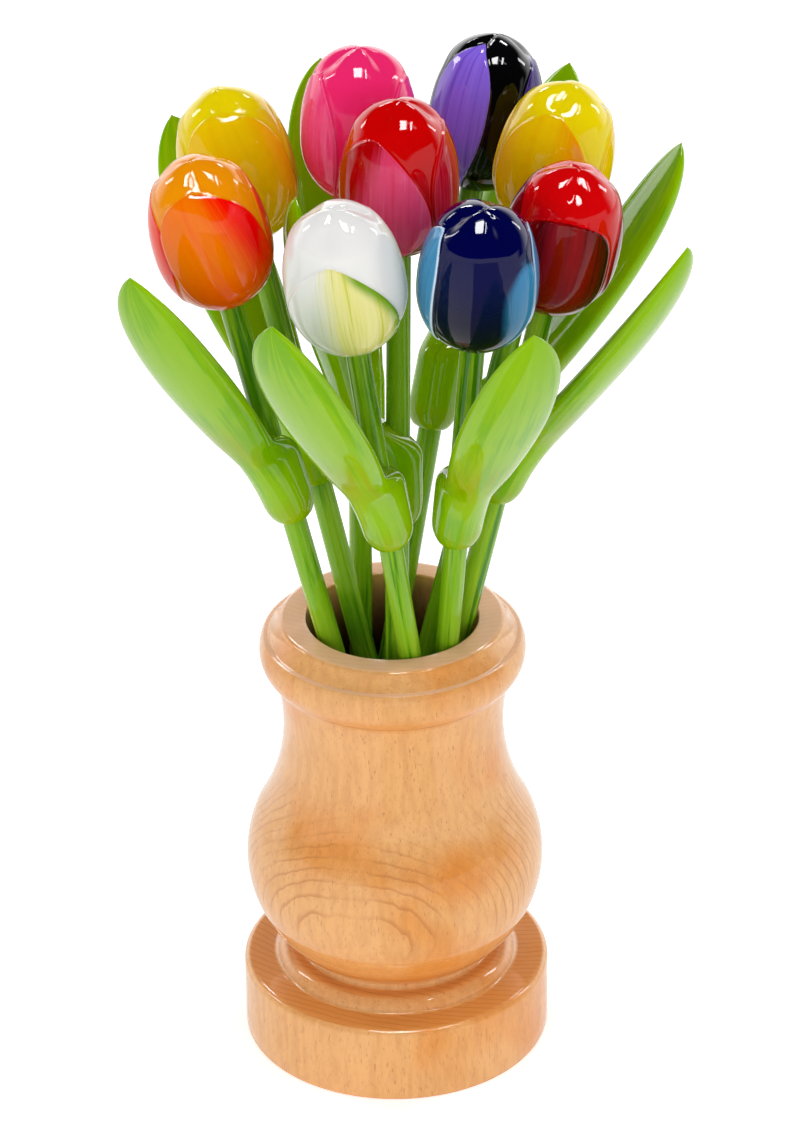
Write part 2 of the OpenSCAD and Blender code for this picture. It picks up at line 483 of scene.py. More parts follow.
@dataclass(frozen=True)
class PetalPaint:
    """The colours of one painted bloom."""

    body: Colour
    ground: Colour
    light: Colour
    dark: Colour
    side: Colour
    # The colour of the painted shade on the side petals and body, next to the front petal's raised edge.
    front_edge_shade: Colour
    outline: Outline
    body_low: Colour | None = None
    ground_low: Colour | None = None
    shade: Shade | None = None
    strokes: Wave = Wave.FINE
    light_share: float = 0.5
    dark_share: float = 0.5
    gloss: Gloss = Gloss()

    def material(self, name: str) -> Material:
        """Builds the bloom's paint.

        Args:
            name: The material's name.

        Returns:
            The material.
        """
        made, n = new_material(name)
        along, across = n.attribute("along"), n.attribute("across")
        front_in, side_in = n.attribute("front_edge"), n.attribute("side_edge")
        brushed = place_group(
            n, "brush", Ground=self.ground, Light=self.light, Dark=self.dark,
            Strokes=self.strokes.value, Light_Share=self.light_share, Dark_Share=self.dark_share,
        )
        fine = brushed.outputs["Height"]
        wobble = n.times(n.minus(fine, 0.5), 0.3)
        front = n.span(n.plus(front_in, wobble), -0.14, 0.14)
        side = n.span(n.plus(side_in, wobble), -0.14, 0.14)
        body: object = self.body
        if self.body_low is not None:
            body = n.mix(n.span(along, 0.75, 0.15), self.body, self.body_low)
        petal = brushed.outputs["Color"]
        if self.ground_low is not None:
            petal = n.mix(n.span(along, 0.55, 0.1, (0.0, 0.8)), petal, self.ground_low)
        if self.shade is not None:
            petal = self.shaded(n, petal, across, along, fine)
        # Painted shade: the side petals and body darken within about 2.6 mm of the front petal's raised
        # edge.
        edge_shade_share = n.span(front_in, -2.6, -0.1, (0.0, 0.9))
        side_ground = n.mix(n.span(fine, 0.4, 0.7, (0.0, 0.4)), self.side, brushed.outputs["Color"])
        other = n.mix(edge_shade_share, side_ground, self.front_edge_shade)
        colour = n.mix(front, n.mix(side, body, other), petal)
        wide, thin = self.outline.width, 0.1 * self.outline.width
        line = n.times(front, n.span(front_in, wide, thin))
        if self.outline.right_only:
            line = n.times(line, n.span(across, 0.1, 0.4))
        rim = n.attribute("side_rim")
        side_line = n.times(n.span(rim, -0.14, 0.14), n.span(rim, wide, thin))
        drawn = n.most(line, n.times(n.minus(side_line, front), 0.6))
        colour = n.mix(n.times(drawn, self.outline.share), colour, self.outline.colour)
        lacquer = place_group(n, "lacquer", Grain=0.6)
        height = n.plus(lacquer.outputs["Height"], n.times(fine, 0.25))
        self.gloss.shader(n, colour, height, lacquer.outputs["Roughness"])
        return made

    def shaded(self, n: Nodes, petal: object, across: object, along: object, fine: object) -> Socket:
        """Brushes the second colour over one side of the front petal.

        Args:
            n: The material's wiring helper.
            petal: The petal's colour.
            across: The place across the petal, from -1 to 1.
            along: The height share on the bloom.
            fine: The brush strokes' pattern.

        Returns:
            The mixed colour.
        """
        shade = self.shade
        place = n.times(across, shade.side.value)
        place = n.plus(place, n.times(n.minus(along, 0.5), shade.upwards))
        place = n.plus(place, n.times(n.minus(fine, 0.5), shade.ragged))
        return n.mix(n.span(place, shade.start, shade.end), petal, shade.colour)


@dataclass(frozen=True)
class GreenPaint:
    """Green paint on a stem or a leaf."""

    base: Colour
    light: Colour
    dark: Colour
    thin: Colour
    grain_x: float
    grain_z: float
    streak: float = 1.0
    gloss: Gloss = Gloss()

    def material(self, name: str) -> Material:
        """Builds the green paint, streaked along the wood.

        Args:
            name: The material's name.

        Returns:
            The material.
        """
        made, n = new_material(name)
        u, w, seed = n.attribute("around"), n.attribute("along"), n.attribute("seed")
        streaks = n.vector(n.times(u, self.grain_x), n.times(w, self.grain_z), seed)
        fine = n.noise(streaks, 1.0, 4.0, 0.6)
        wide = n.noise(n.stretched(45.0, 45.0, 18.0), 1.0, 2.0)
        lit = n.mix(n.span(fine, 0.5, 0.74, (0.0, self.streak)), self.base, self.light)
        low = n.span(n.math("MULTIPLY_ADD", n.minus(wide, 0.5), 0.8, fine), 0.5, 0.34, (0.0, 0.8))
        deep = n.mix(low, lit, self.dark)
        worn = n.times(n.attribute("worn"), n.span(fine, 0.36, 0.56))
        colour = n.mix(worn, deep, self.thin)
        lacquer = place_group(n, "lacquer", Grain=1.0)
        height = n.plus(lacquer.outputs["Height"], n.times(fine, 0.3))
        self.gloss.shader(n, colour, height, lacquer.outputs["Roughness"])
        return made


@dataclass(frozen=True)
class LacqueredBeech:
    """Clear lacquer over turned beech, with its places in millimetres on the vase."""

    pale: Colour = srgb(234, 174, 108)
    warm: Colour = srgb(228, 138, 38)
    ring: Colour = srgb(186, 106, 42)
    fleck: Colour = srgb(176, 108, 54)
    end_grain: Colour = srgb(226, 152, 74)
    rim: Colour = srgb(255, 198, 162)
    # Painted shade: the dark colour multiplied over the wood inside the bore.
    bore: Colour = srgb(70, 30, 12)
    ring_width: float = 2.7
    pith: Point = (48.0, 107.0)
    pith_lean: Point = (0.25, 0.16)
    heart: Point = (20.0, 84.0)
    heart_size: Point = (30.0, 14.0)
    figured_at: float = 80.0
    figured_fade: Point = (28.0, 14.0)
    foot_colours: Point = (90.0, 40.0)
    gloss: Gloss = Gloss(roughness=0.05, bump=0.08, under=0.3)

    def late_wood(self, n: Nodes, place: Node) -> Socket:
        """The dark edge of each growth ring, round a leaning pith beside the vase.

        Args:
            n: The group's wiring helper.
            place: The node with the place's parts.

        Returns:
            How much of each point is late wood.
        """
        x, y, z = place.outputs
        sway = n.times(n.noise(n.stretched(20.0, 20.0, 12.0), 1.0, 2.0), 5.0)
        wobble = n.times(n.noise(n.stretched(160.0, 160.0, 60.0), 1.0, 2.0), 1.6)
        dx = n.math("MULTIPLY_ADD", z, self.pith_lean[0], n.minus(x, self.pith[0]))
        dy = n.math("MULTIPLY_ADD", z, self.pith_lean[1], n.minus(y, self.pith[1]))
        turns = n.over(n.plus(n.plus(n.length(dx, dy), sway), wobble), self.ring_width)
        phase = n.math("FRACT", turns)
        return n.times(n.span(phase, 0.68, 0.93), n.span(phase, 1.0, 0.95))

    def heartwood(self, n: Nodes, place: Node) -> Socket:
        """The warm patches: a large one on the front of the belly, and small ones all over.

        Args:
            n: The group's wiring helper.
            place: The node with the place's parts.

        Returns:
            How warm each point is.
        """
        x, y, z = place.outputs
        small = n.span(n.noise(n.stretched(26.0, 26.0, 20.0), 1.0, 2.0, 0.45), 0.52, 0.70, (0.0, 0.7))
        across = n.over(n.minus(x, self.heart[0]), self.heart_size[0])
        upwards = n.over(n.minus(z, self.heart[1]), self.heart_size[1])
        ragged = n.noise(n.stretched(70.0, 70.0, 40.0), 1.0, 3.0)
        far = n.math("MULTIPLY_ADD", ragged, 0.9, n.length(across, upwards))
        large = n.times(n.span(far, 1.5, 0.5), n.span(y, 0.0, -20.0))
        return n.most(small, n.times(large, 0.9))

    def grain(self) -> NodeTree:
        """Growth rings, heartwood, upright flecks, the end grain on level faces and painted shade on
        faces that point down.

        Returns:
            The group, which puts out a colour and a height.
        """
        tree, n, start, end = group(
            "beech",
            {
                "Pale": self.pale, "Warm": self.warm, "Ring": self.ring,
                "Fleck": self.fleck, "End Grain": self.end_grain, "Rim": self.rim,
            },
            {"Color": "NodeSocketColor", "Height": "NodeSocketFloat"},
        )
        pale, warm, ring, fleck, end_grain, rim = (start.outputs[k] for k in range(6))
        place = n.add("ShaderNodeSeparateXYZ")
        n.link(n.millimetres(), place.inputs[0])
        late = self.late_wood(n, place)
        patchy = n.span(n.noise(n.stretched(34.0, 34.0, 16.0), 1.3, 1.0), 0.42, 0.62, (0.1, 0.5))
        off_belly = n.plain(n.minus(place.outputs[2], self.figured_at))
        figured = n.span(off_belly, *self.figured_fade, (0.12, 1.0))
        base = n.mix(n.times(self.heartwood(n, place), 0.95), pale, warm)
        cloud = n.span(n.noise(n.stretched(420.0, 420.0, 70.0), 1.0, 3.0), 0.35, 0.7, (0.0, 0.22))
        ringed = n.mix(n.times(late, n.times(patchy, figured)), n.mix(cloud, base, ring), ring)
        pores = n.noise(n.stretched(2600.0, 2600.0, 330.0), 1.0, 2.0, 0.6)
        rays = n.noise(n.stretched(1500.0, 1500.0, 300.0), 1.0, 1.0)
        marks = n.most(n.span(pores, 0.56, 0.72, (0.0, 0.34)), n.span(rays, 0.64, 0.76, (0.0, 0.55)))
        facing = n.add("ShaderNodeSeparateXYZ")
        n.link(n.add("ShaderNodeTexCoord").outputs["Normal"], facing.inputs[0])
        level = n.span(facing.outputs[2], 0.85, 0.99, (0.0, 0.85))
        # Painted shade: faces that point down, under the lip and the belly, turn to the warm, darker wood
        # colour.
        under = n.span(facing.outputs[2], -0.1, -0.7, (0.0, 0.55))
        low_down = n.span(place.outputs[2], *self.foot_colours)
        sides = n.mix(under, n.mix(marks, ringed, fleck), warm)
        topped = n.mix(level, sides, n.mix(low_down, rim, end_grain))
        lines = n.times(n.times(late, level), n.math("MULTIPLY_ADD", low_down, 0.35, 0.15))
        n.link(n.mix(lines, topped, ring), end.inputs["Color"])
        n.link(n.minus(1.0, marks), end.inputs["Height"])
        return tree

    def material(self, name: str) -> Material:
        """Builds the vase's wood, with painted shade that darkens it in the bore."""
        made, n = new_material(name)
        wood = n.add("ShaderNodeGroup", node_tree=self.grain())
        lacquer = place_group(n, "lacquer", Grain=0.8)
        height = n.plus(lacquer.outputs["Height"], n.times(wood.outputs["Height"], 0.2))
        # Painted shade darkens the wood inside the bore.
        colour = n.mix(n.attribute("inside"), wood.outputs["Color"], self.bore, "MULTIPLY")
        self.gloss.shader(n, colour, height, lacquer.outputs["Roughness"])
        return made


@dataclass
class Stand:
    """How one tulip stands: its foot, its direction and its length, worked out from the solid model."""

    name: str
    foot: Vector = field(init=False)
    turn: Matrix = field(init=False)
    stem_length: float = field(init=False)
    heading: float = field(init=False)

    def __post_init__(self) -> None:
        """Reads the tulip's axis from its joint and its foot from its stem's mesh."""
        joint = next(j for j in frame["joints"] if j["name"] == "lift_" + self.name)
        axis = Vector(joint["axis"]).normalized()
        points = np.array([v.co for v in frame["nodes"]["stem_" + self.name].data.vertices], float)
        along = points @ np.array(axis)
        low = points[along < along.min() + 0.5 * MM].mean(0)
        high = points[along > along.max() - 0.5 * MM].mean(0)
        self.foot = Vector(low)
        self.stem_length = float(np.linalg.norm(high - low)) / MM
        self.heading = math.degrees(math.atan2(axis.y, axis.x))
        lean = math.acos(axis.z)
        self.turn = Matrix.Rotation(math.radians(self.heading), 4, "Z") @ Matrix.Rotation(lean, 4, "Y")

    def placed(self, points: np.ndarray, up: float, facing: float) -> np.ndarray:
        """Moves points from a piece's own frame to where the tulip stands.

        Args:
            points: Rows of x, y, z in millimetres, with the stem along +Z.
            up: How far up the stem the piece begins, in millimetres.
            facing: The heading that the piece's +X points to, in degrees.

        Returns:
            The points in metres.
        """
        spin = Matrix.Rotation(math.radians(facing - self.heading), 4, "Z")
        moved = (points + np.array([0.0, 0.0, up])) * MM
        matrix = np.array(self.turn @ spin)[:3, :3]
        return moved @ matrix.T + np.array(self.foot)


@dataclass(frozen=True)
class Petal:
    """One carved petal of a bloom: where it faces and how its edge runs."""

    heading: float
    half: float
    top: float = 0.86
    widest: float = 0.5
    low: float = -0.04
    blunt: float = 2.2
    lean: float = 0.0
    soft: float = 0.5

    def edge(
        self, heights: np.ndarray, around: np.ndarray, girth: np.ndarray, tall: float,
    ) -> tuple[np.ndarray, np.ndarray]:
        """How far each point lies inside the petal's edge, and its place across the petal.

        Args:
            heights: Height shares on the bloom.
            around: Headings in degrees.
            girth: The bloom's radius at each point, in millimetres.
            tall: The bloom's height in millimetres.

        Returns:
            Millimetres inside the edge, and places across from -1 to 1.
        """
        off = (around - self.heading - self.lean * (heights - 0.5) + 180.0) % 360.0 - 180.0
        upper = (self.top - heights) / (self.top - self.widest)
        lower = (heights - self.low) / (self.widest - self.low)
        share = np.clip(np.where(heights > self.widest, upper, lower), 0.0, 1.0)
        half = self.half * (1.0 - (1.0 - share) ** self.blunt) ** 0.6
        beside = (half - np.abs(off)) * math.pi / 180.0 * girth
        ends = np.minimum(self.top - heights, heights - self.low) * tall
        return np.minimum(beside, ends), np.clip(off / self.half, -1.2, 1.2)


@dataclass
class Bloom:
    """A turned egg of wood with carved outer petals, painted.

    Sizes are in millimetres, and places up the bloom are shares of its height.
    """

    stand: Stand
    paint: PetalPaint
    petals: list[Petal]
    width: float = 39.0
    height: float = 54.0
    seat_gap: float = 0.3
    socket: float = 16.0
    bulge: float = 0.43
    bare: float = 0.7
    rise: float = 0.35
    overlap: float = 0.2
    carved: float = 0.9
    lip: float = 0.12
    groove: float = 0.25
    flat_top: float = 0.6
    crown_at: float = 0.93
    crown_dip: float = 1.3
    crown_drop: float = 0.9
    shoulder_at: float = 0.87
    shoulder: float = 0.05
    crease: float = 0.4
    rings: int = 132
    sides: int = 240

    def outline(self) -> tuple[np.ndarray, np.ndarray]:
        """The egg's height shares and radius shares, evenly spaced along its latitude."""
        q = np.radians(np.linspace(-90.0, 90.0, self.rings + 2)[1:-1])
        s, c = np.abs(np.sin(q)), np.cos(q)
        below, above = self.bulge - self.bulge * s ** 0.91, self.bulge + (1 - self.bulge) * s ** 0.83
        return np.where(q < 0, below, above), np.where(q < 0, c, c ** 1.06)

    def build(self) -> Piece:
        """Builds the carved bloom and its paint masks.

        Returns:
            The bloom's object.
        """
        t, f = self.outline()
        tt, aa = np.meshgrid(t, np.arange(self.sides) * 360.0 / self.sides, indexing="ij")
        ff = np.broadcast_to(f[:, None], tt.shape)
        girth = self.width / 2.0 * np.maximum(ff, 0.2)
        edges = [petal.edge(tt, aa, girth, self.height) for petal in self.petals]
        scaled = [inside * 0.5 / petal.soft for petal, (inside, _) in zip(self.petals, edges)]
        front_edge = scaled[0]
        side_edge = np.max(scaled[1:], axis=0)
        crisp = [inside for petal, (inside, _) in zip(self.petals[1:], edges[1:]) if petal.soft < 1.0]
        side_rim = np.max(crisp, axis=0) if crisp else np.full(tt.shape, -6.0)
        across, seed = edges[0][1], np.zeros(tt.shape)
        for k in range(len(self.petals) - 1, 0, -1):
            over = (scaled[k] > 0) & (front_edge < 0)
            across = np.where(over, edges[k][1], across)
            seed = np.where(over, float(k), seed)
        r = self.carve(ff, front_edge, side_edge)
        turn = np.radians(3.0 * (aa - self.petals[0].heading))
        dips = hump(tt, self.crown_at, 0.055) * (0.5 + 0.5 * np.cos(turn)) ** 3
        creases = self.crease * np.cos(turn) * smooth_step((tt - 0.7) / 0.15) * ff
        r = r * (1.0 + self.shoulder * hump(tt, self.shoulder_at, 0.08))
        r = r - self.crown_dip * dips - creases
        z = tt * self.height - self.crown_drop * dips - self.flat_top * smooth_step((tt - 0.92) / 0.08)
        a = np.radians(aa)
        points = np.stack([r * np.cos(a), r * np.sin(a), z], -1).reshape(-1, 3)
        points = np.vstack([points, [[0.0, 0.0, 0.0], [0.0, 0.0, self.height - self.flat_top - 0.2]]])
        up = self.stand.stem_length - self.socket + self.seat_gap
        name = self.stand.name + "_bloom"
        piece = new_object(name, self.stand.placed(points, up, 0.0), ring_faces(self.rings, self.sides))
        masks = {"across": across, "petal": seed}
        masks |= {"front_edge": front_edge, "side_edge": side_edge, "side_rim": side_rim}
        set_attributes(piece, along=np.concatenate([tt.ravel(), [0.0, 1.0]]))
        for key, values in masks.items():
            ends = [values[0].mean(), values[-1].mean()]
            set_attributes(piece, **{key: np.concatenate([np.clip(values, -6.0, 6.0).ravel(), ends])})
        piece.data.materials.append(self.paint.material(name + "_paint"))
        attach(piece, "tulip_" + self.stand.name)
        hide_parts("bloom_" + self.stand.name)
        return piece

    def carve(self, shares: np.ndarray, front: np.ndarray, side: np.ndarray) -> np.ndarray:
        """Radius of the egg with its raised petals.

        Args:
            shares: The egg's own radius shares.
            front: Millimetres inside the front petal's edge.
            side: Millimetres inside the other petals' edges.

        Returns:
            The radius in millimetres.
        """
        on_front = smooth_step(front / self.carved + 0.5)
        on_side = smooth_step(side / self.carved + 0.5)
        under = 1.0 - on_front
        lips = hump(front, 0.8, 0.6) + under * hump(side, 0.8, 0.6)
        grooves = hump(front, -0.7, 0.5) + under * hump(side, -0.7, 0.5)
        r = (self.width / 2.0 - self.bare) * shares
        raised = self.rise * np.maximum(on_front, on_side) + self.overlap * on_front
        r = r + raised * np.minimum(1.0, 1.6 * shares)
        return r + (self.lip * lips - self.groove * np.minimum(grooves, 1.0)) * shares


@dataclass
class Stem:
    """A green dowel with eased ends."""

    stand: Stand
    material: Material
    width: float = 8.0
    ease: float = 0.5
    sanded: float = 0.04
    rings: int = 60
    sides: int = 48

    def build(self) -> Piece:
        """Builds the dowel with a slight hand-sanded unevenness.

        Returns:
            The stem's object.
        """
        length, ease = self.stand.stem_length, self.ease
        between = np.linspace(4.0, length - 4.0, self.rings)
        heights = np.concatenate([[0.0, ease], between, [length - ease, length]])
        a = np.radians(np.arange(self.sides) * 360.0 / self.sides)
        zz, aa = np.meshgrid(heights, a, indexing="ij")
        r = np.full(zz.shape, self.width / 2.0)
        r[0] -= ease
        r[-1] -= ease
        waves = np.sin(zz[2:-2] / 17.0 + 2.0 * aa[2:-2] + self.stand.heading)
        r[2:-2] -= self.sanded + self.sanded * waves
        points = np.stack([r * np.cos(aa), r * np.sin(aa), zz], -1).reshape(-1, 3)
        points = np.vstack([points, [[0.0, 0.0, 0.0], [0.0, 0.0, length]]])
        piece = new_object(
            self.stand.name + "_stem", self.stand.placed(points, 0.0, self.stand.heading),
            ring_faces(len(heights), self.sides),
        )
        ends = np.array([0.0, length])
        set_attributes(
            piece,
            around=np.concatenate([np.sin(aa).ravel(), 0.0 * ends]),
            along=np.concatenate([zz.ravel(), ends]),
            seed=np.full(aa.size + 2, self.stand.heading * 0.37),
            worn=np.full(aa.size + 2, 0.25),
        )
        piece.data.materials.append(self.material)
        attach(piece, "tulip_" + self.stand.name)
        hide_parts("stem_" + self.stand.name)
        return piece


@dataclass
class Leaf:
    """A carved leaf: a knob round the stem and a blade that leans away from it."""

    stand: Stand
    material: Material
    up: float
    facing: float
    height: float = 124.0
    width: float = 30.6
    thickness: float = 11.2
    lean: float = 37.5
    knob: float = 30.0
    stem_r: float = 4.0
    knob_wall: float = 4.0
    end_rim: float = 0.6
    root_gap: float = 0.3
    grow: float = 6.8
    sides: int = 80

    def sections(self, w: np.ndarray) -> np.ndarray:
        """Cross-sections of the leaf.

        Args:
            w: Heights up the leaf in millimetres.

        Returns:
            Rows of inner face, edge line, outer face and half width.
        """
        wall = self.knob_wall - self.end_rim
        bend = np.sqrt(np.clip(1.0 - (1.0 - np.minimum(w / 8.0, 1.0)) ** 2, 0.0, 1.0))
        out = self.stem_r + self.end_rim + wall * bend
        root, knob_half = self.stem_r + self.root_gap, self.stem_r + self.knob_wall
        t = np.clip((w - self.knob) / (self.height - self.knob), 0.0, 1.0)
        blade_in = root + self.lean * (1.0 - (1.0 - t) ** 1.1)
        thick = np.maximum(0.6, self.thickness * np.clip(1.0 - t ** 4, 0.0, 1.0) ** 0.7)
        merge = smooth_step((w - self.knob + 6.0) / 18.0)
        inner = -out + (blade_in + out) * merge
        flare = (root + self.thickness - knob_half) * np.minimum(1.0, w / self.knob) ** 1.6
        outer = np.where(w < self.knob, out + flare, blade_in + thick)
        root_half = self.width / 2.0 - self.grow
        wide = 1.0 - (1.0 - np.minimum(t / 0.55, 1.0)) ** 2
        blade_half = (root_half + self.grow * wide) * np.clip(1.0 - t ** 6, 0.0, 1.0) ** 0.8
        low_half = out + (root_half - knob_half) * w / self.knob
        half = np.where(w < self.knob, low_half, np.maximum(0.5, blade_half))
        return np.stack([inner, inner + (0.5 - 0.15 * merge) * (outer - inner), outer, half], -1)

    def build(self) -> Piece:
        """Builds the leaf.

        Returns:
            The leaf's object.
        """
        low = np.linspace(0.0, 1.0, 14) ** 2 * 8.0
        ends = self.height - 3.0 * (1.0 - np.linspace(0.0, 1.0, 10)[1:]) ** 2
        w = np.concatenate([low, np.linspace(9.0, self.height - 3.0, 96), ends])
        rows = self.sections(w)
        a = -np.radians(np.arange(self.sides) * 360.0 / self.sides)
        s, c = np.sin(a)[None, :], np.cos(a)[None, :]
        ui, ue, uo, h = (rows[:, k][:, None] for k in range(4))
        u = np.where(s < 0, ue - (uo - ue) * s, ue - (ue - ui) * np.abs(s) ** 0.7)
        v = np.broadcast_to(h * c, u.shape)
        ww = np.broadcast_to(w[:, None], u.shape)
        points = np.stack([u, v, ww], -1).reshape(-1, 3)
        points = np.vstack([points, [[0.5, 0.0, 0.0], [rows[-1, 1], 0.0, self.height + 0.3]]])
        piece = new_object(
            self.stand.name + "_leaf", self.stand.placed(points, self.up, self.facing),
            ring_faces(len(rows), self.sides),
        )
        around = np.broadcast_to(c, u.shape).ravel()
        worn = hump(ww, 4.0, 7.0) + 1.1 * hump(ww, 43.0, 11.0)
        set_attributes(
            piece,
            around=np.concatenate([around * 2.0, [0.0, 0.0]]),
            along=np.concatenate([ww.ravel(), [0.0, self.height]]),
            seed=np.full(u.size + 2, self.facing * 0.11),
            worn=np.concatenate([worn.ravel() * 0.6, [0.0, 0.0]]),
        )
        piece.data.materials.append(self.material)
        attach(piece, "tulip_" + self.stand.name)
        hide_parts("leaf_" + self.stand.name)
        return piece


def arc(centre: Point, radius: float, start: float, stop: float, steps: int) -> list[Point]:
    """Points along a circle's arc.

    Args:
        centre: The circle's centre, as radius and height.
        radius: The circle's radius.
        start: The first angle in degrees.
        stop: The last angle in degrees.
        steps: How many steps there are.

    Returns:
        The points, both ends included.
    """
    angles = np.radians(np.linspace(start, stop, steps + 1))
    return [(centre[0] + radius * math.cos(q), centre[1] + radius * math.sin(q)) for q in angles]


@dataclass
class Vase:
    """The turned vase: foot, bead, belly, neck, lip and bore, in millimetres."""

    foot_top: float = 28.0
    foot_round: float = 2.5
    floor: float = 17.0
    neck_wall: float = 8.5
    belly_out: float = 13.5
    belly_up: float = 41.0
    belly_arc: float = 42.0
    neck_arc: float = 70.0
    lip_out: float = 7.6
    lip_arc: float = 11.7
    bead: float = 2.3
    bead_out: float = 6.4
    groove: float = 1.6
    bead_round: float = 1.2
    lip_step: float = 1.5
    step_at: float = 27.0
    lip_drop: float = 3.5
    rim_round: float = 2.2
    sides: int = 256

    def outline(self) -> tuple[np.ndarray, int]:
        """The turned outline from the middle of the base, over the rim and down the bore.

        Returns:
            Rows of radius and height in millimetres, and the row where the bore starts.
        """
        low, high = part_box("vase")
        foot_r, top = (high.x - low.x) / 2.0 / MM, high.z / MM
        points = np.array([v.co for v in frame["nodes"]["vase"].data.vertices], float) / MM
        rim = points[points[:, 2] > top - 0.01]
        bore = float(np.hypot(rim[:, 0], rim[:, 1]).min())
        waist = bore + self.neck_wall
        belly = (waist + self.belly_out - self.belly_arc, self.foot_top + self.belly_up)
        reach = waist + self.neck_arc - belly[0]
        climb = math.sqrt((self.belly_arc + self.neck_arc) ** 2 - reach ** 2)
        neck = (waist + self.neck_arc, belly[1] + climb)
        lip = (waist + self.lip_out - self.lip_arc, top - self.lip_arc)
        root_z = self.foot_top + 2.0 * self.bead + 2.0 * self.groove
        root_r = belly[0] + math.sqrt(self.belly_arc ** 2 - (belly[1] - root_z) ** 2)
        gap = math.dist(neck, lip)
        along = (self.neck_arc ** 2 - self.lip_arc ** 2 + gap ** 2) / (2.0 * gap)
        ux, uy = (lip[0] - neck[0]) / gap, (lip[1] - neck[1]) / gap
        side = math.sqrt(self.neck_arc ** 2 - along ** 2)
        joint = (neck[0] + along * ux - side * uy, neck[1] + along * uy + side * ux)
        start = math.degrees(math.atan2(neck[1] - belly[1], neck[0] - belly[0]))
        neck_end = math.degrees(math.atan2(joint[1] - neck[1], joint[0] - neck[0]))
        lip_start = math.degrees(math.atan2(joint[1] - lip[1], joint[0] - lip[0]))
        lip_top = math.degrees(math.asin(1.0 - self.lip_drop / self.lip_arc))
        ring = lip[0] + 0.45 * self.lip_arc
        belly_start = math.degrees(math.atan2(root_z - belly[1], root_r - belly[0]))
        foot = self.foot_top - self.foot_round
        outer = [
            *[(foot_r * k / 6.0, 0.0) for k in range(1, 6)],
            (foot_r - 1.0, 0.0), (foot_r - 0.3, 0.3), (foot_r, 1.0),
            (foot_r, 6.0), (foot_r, foot / 2.0), (foot_r, foot - 2.0),
            *arc((foot_r - self.foot_round, foot), self.foot_round, 0.0, 90.0, 10),
            (foot_r - 5.0, self.foot_top), (root_r + self.bead_out + 1.8, self.foot_top),
            *self.bell(
                root_r + self.bead_round, self.foot_top, self.bead_out - self.bead_round, 2.0 * self.bead,
            ),
            *arc((root_r, self.foot_top + 2.0 * self.bead + self.groove), self.groove, 262.0, 98.0, 12),
            *arc(belly, self.belly_arc, belly_start, start, 60),
            *arc(neck, self.neck_arc, start + 180.0, neck_end % 360.0, 30)[1:],
            *self.stepped_lip(lip, lip_start, lip_top)[1:],
            *arc((ring - self.rim_round, top - self.rim_round), self.rim_round, 15.0, 90.0, 12),
            (ring - 5.0, top), (bore + 3.0, top),
            *arc((bore + 0.8, top - 0.8), 0.8, 90.0, 180.0, 5),
        ]
        heights = self.floor + 1.0 + np.arange(12, -1, -1) * (top - self.floor - 6.0) / 12.0
        inner = [(bore, top - 2.0), *[(bore, float(z)) for z in heights]]
        inner += [(bore - 0.5, self.floor), (bore * 0.8, self.floor), (bore * 0.4, self.floor)]
        return np.array(outer + inner), len(outer)

    def bell(self, inner: float, low: float, out: float, tall: float) -> list[Point]:
        """The swelling between the foot and the groove, a quarter of an oval.

        Args:
            inner: The radius of its top.
            low: The height of its lower edge.
            out: How far it reaches beyond its top.
            tall: How tall it is.

        Returns:
            The points.
        """
        angles = np.radians(np.linspace(4.0, 90.0, 22))
        return [(inner + out * math.cos(q), low + tall * math.sin(q)) for q in angles]

    def stepped_lip(self, centre: Point, start: float, stop: float) -> list[Point]:
        """The rolled lip with the fine step that the turning tool left on it.

        Args:
            centre: The roll's centre, as radius and height.
            start: Its first angle in degrees.
            stop: Its last angle in degrees.

        Returns:
            The points.
        """
        points = []
        for angle in np.linspace(start, stop, 150):
            radius = self.lip_arc - self.lip_step * float(smooth_step((angle - self.step_at) / 8.0))
            points.extend(arc(centre, radius, angle, angle, 1)[:1])
        return points

    def build(self) -> Piece:
        """Builds the vase.

        Returns:
            The vase's object.
        """
        outline, inside_from = self.outline()
        a = np.radians(np.arange(self.sides) * 360.0 / self.sides)
        r, z = outline[:, 0][:, None], outline[:, 1][:, None]
        levels = np.broadcast_to(z, (len(outline), self.sides))
        points = np.stack([r * np.cos(a), r * np.sin(a), levels], -1)
        ends = [[0.0, 0.0, 0.0], [0.0, 0.0, self.floor]]
        points = np.vstack([points.reshape(-1, 3), ends]) * MM
        piece = new_object("turned_vase", points, ring_faces(len(outline), self.sides))
        inside = smooth_step((np.arange(len(outline)) - inside_from) / 3.0)
        set_attributes(piece, inside=np.concatenate([np.repeat(inside, self.sides), [0.0, 1.0]]))
        piece.data.materials.append(LacqueredBeech().material("lacquered_beech"))
        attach(piece, "vase")
        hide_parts("vase")
        return piece


@dataclass(frozen=True)
class SoftBox:
    """A lamp with a bright rectangular face. Its place and size are in metres."""

    name: str
    at: tuple[float, float, float]
    size: Point
    radiance: float

    def build(self) -> None:
        """Adds the lamp, which faces the middle of the tulips."""
        data = bpy.data.lights.new(self.name, "AREA")
        data.shape = "RECTANGLE"
        data.size, data.size_y = self.size
        data.energy = self.radiance * math.pi * self.size[0] * self.size[1]
        item = bpy.data.objects.new(self.name, data)
        bpy.context.scene.collection.objects.link(item)
        item.location = self.at
        item.rotation_mode = "QUATERNION"
        towards = Vector((0.0, 0.0, 0.2)) - Vector(self.at)
        item.rotation_quaternion = towards.to_track_quat("-Z", "Y")


SOFT_BOXES = (
    SoftBox("top_box", (0.02, -0.2, 1.45), (0.40, 0.46), 3.2),
    SoftBox("top_strip", (0.42, -0.15, 1.40), (0.09, 0.46), 3.2),
    SoftBox("left_box", (-1.0, 0.5, 0.95), (0.14, 0.35), 14.0),
    SoftBox("right_box", (1.0, 0.5, 0.85), (0.14, 0.35), 14.0),
    SoftBox("back_left", (-0.35, 1.1, 1.05), (0.3, 0.08), 24.0),
    SoftBox("back_right", (0.4, 1.0, 1.15), (0.22, 0.1), 24.0),
)


